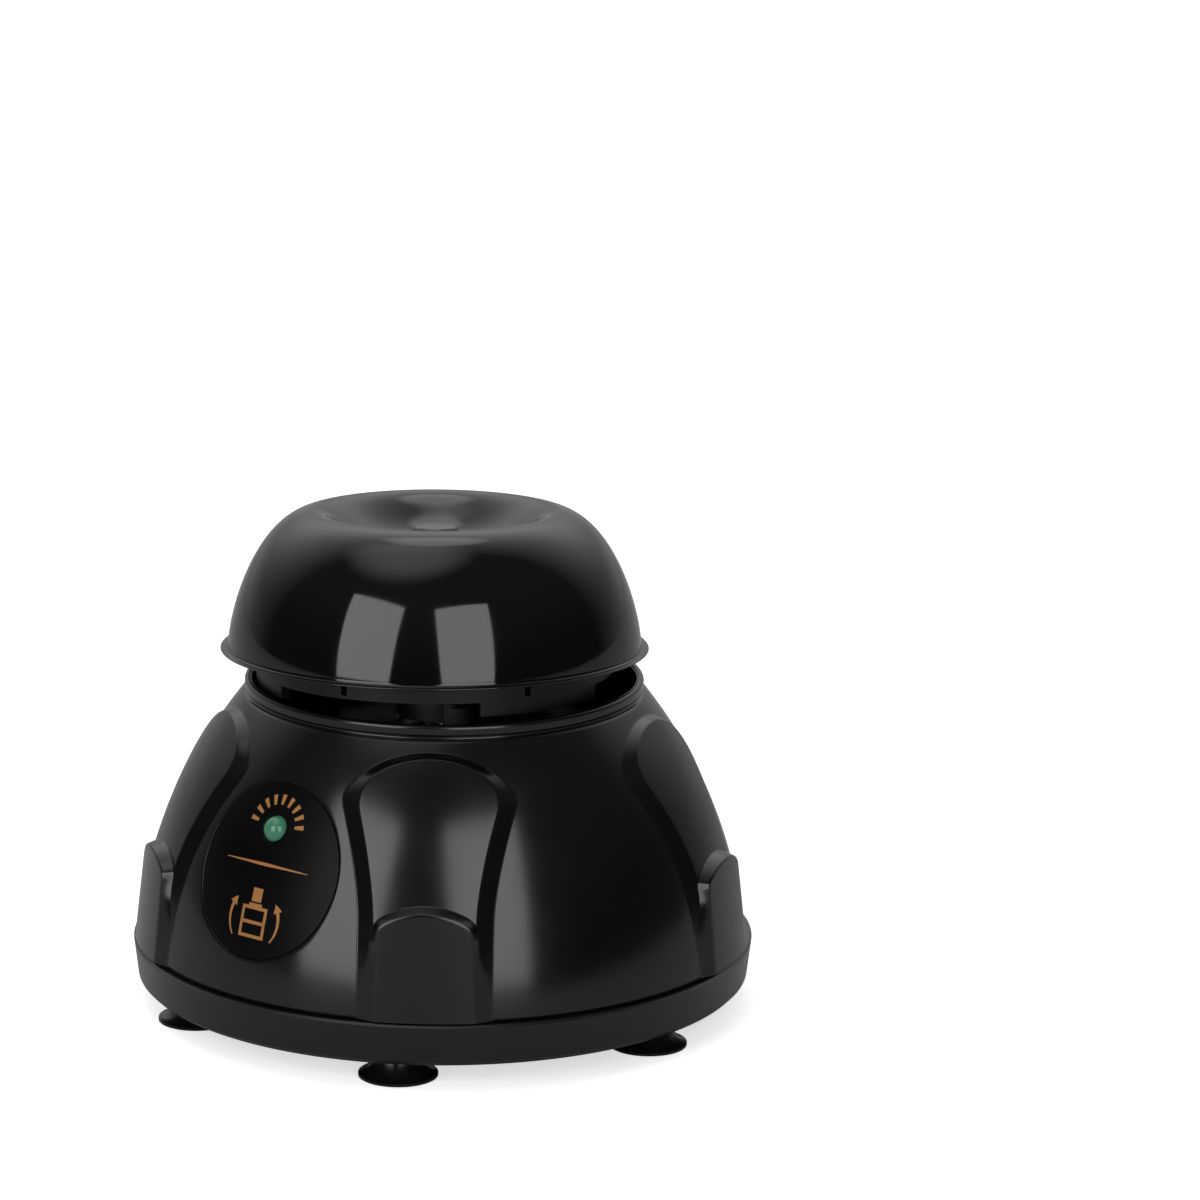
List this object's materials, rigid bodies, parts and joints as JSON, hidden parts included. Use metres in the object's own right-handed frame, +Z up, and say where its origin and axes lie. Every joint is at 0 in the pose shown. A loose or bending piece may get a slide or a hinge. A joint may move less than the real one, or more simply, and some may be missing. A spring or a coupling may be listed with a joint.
{
  "type": "nail polish shaker machine",
  "caption": "Round desktop bottle shaker: black domed housing with raised arches on suction feet, oval badge with lamp, and a dished head that orbits on a crank.",
  "frame": {"origin": "centre of the footprint, on the surface the feet stand on; the motor's axis is the Z axis", "axes": "+Z up; -Y is the front, where the oval badge and the lamp are; +Y is the rear, where the switch and the power inlet are; +X is to the right of someone who looks at the badge"},
  "size_m": [0.116, 0.116, 0.0938],
  "materials": {
    "housing_black": "semi-gloss black moulded plastic",
    "tray_black": "semi-gloss black moulded plastic",
    "head_black": "high-gloss black moulded plastic",
    "inner_black": "black moulded plastic",
    "foot_rubber": "glossy black rubber",
    "badge_black": "gloss black plate with a sparse gold print",
    "lamp_lens": "clear pale green lens",
    "seat_grey": "smooth grey cap",
    "seat_washer": "dark grey rubber washer",
    "switch_black": "satin black plastic",
    "rocker_black": "gloss black plastic",
    "fastener_steel": "zinc plated steel",
    "can_steel": "drawn steel can",
    "plate_steel": "pressed steel sheet",
    "bearing_steel": "ground bearing steel",
    "weight_steel": "sawn steel",
    "hub_aluminium": "turned aluminium",
    "contact_brass": "stamped brass",
    "lead_wire": "tinned wire",
    "mount_rubber": "black rubber",
    "cap_plastic": "natural nylon",
    "board_green": "green lacquered board",
    "board_part": "moulded parts"
  },
  "bodies": {
    "base": {"body_shell": "housing_black", "base_tray": "tray_black", "suction_foot_1": "foot_rubber", "suction_foot_2": "foot_rubber", "suction_foot_3": "foot_rubber", "suction_foot_4": "foot_rubber", "suction_foot_5": "foot_rubber", "suction_foot_6": "foot_rubber", "tray_screws": "fastener_steel", "badge_plate": "badge_black", "power_lamp": "lamp_lens", "lamp_holder": "inner_black", "lamp_leads": "lead_wire", "motor_can": "can_steel", "motor_end_cap": "cap_plastic", "motor_terminals": "contact_brass", "motor_screws": "fastener_steel", "motor_plate": "plate_steel", "isolator_1": "mount_rubber", "isolator_2": "mount_rubber", "isolator_3": "mount_rubber", "isolator_4": "mount_rubber", "plate_screws": "fastener_steel", "guide_post_1": "plate_steel", "guide_post_2": "plate_steel", "guide_post_3": "plate_steel", "post_sleeve_1": "mount_rubber", "post_sleeve_2": "mount_rubber", "post_sleeve_3": "mount_rubber", "switch_housing": "switch_black", "switch_terminals": "contact_brass", "dc_jack": "switch_black", "jack_nut": "switch_black", "jack_terminals": "contact_brass", "circuit_board": "board_green", "board_screws": "fastener_steel", "board_parts": "board_part"},
    "rotor": {"motor_shaft": "can_steel", "eccentric_hub": "hub_aluminium", "set_screw": "fastener_steel", "counterweight": "weight_steel", "pin_circlip": "fastener_steel", "bearing_inner_race": "bearing_steel"},
    "head": {"head_shell": "head_black", "head_base": "inner_black", "head_screws": "fastener_steel", "bearing_outer_race": "bearing_steel", "bearing_balls": "bearing_steel", "centre_screw": "seat_grey", "centre_washer": "seat_washer"},
    "rocker": {"rocker_button": "rocker_black"}
  },
  "joints": [
    {"name": "rotor_spin", "type": "hinge", "parent": "base", "child": "rotor", "pos_m": [0, 0, 0.0515], "axis": [0, 0, 1], "continuous": true},
    {"name": "head_orbit", "type": "hinge", "parent": "rotor", "child": "head", "pos_m": [-0.00139, -0.00114, 0.0698], "axis": [-0.0333, 0.0404, 0.9986], "continuous": true},
    {"name": "rocker_tilt", "type": "hinge", "parent": "base", "child": "rocker", "pos_m": [0, 0.04795, 0.04314], "axis": [1, 0, 0], "range_deg": [0, 20]}
  ],
  "couplings": [
    {"joint": "head_orbit", "follows": "rotor_spin", "ratio": -1}
  ]
}
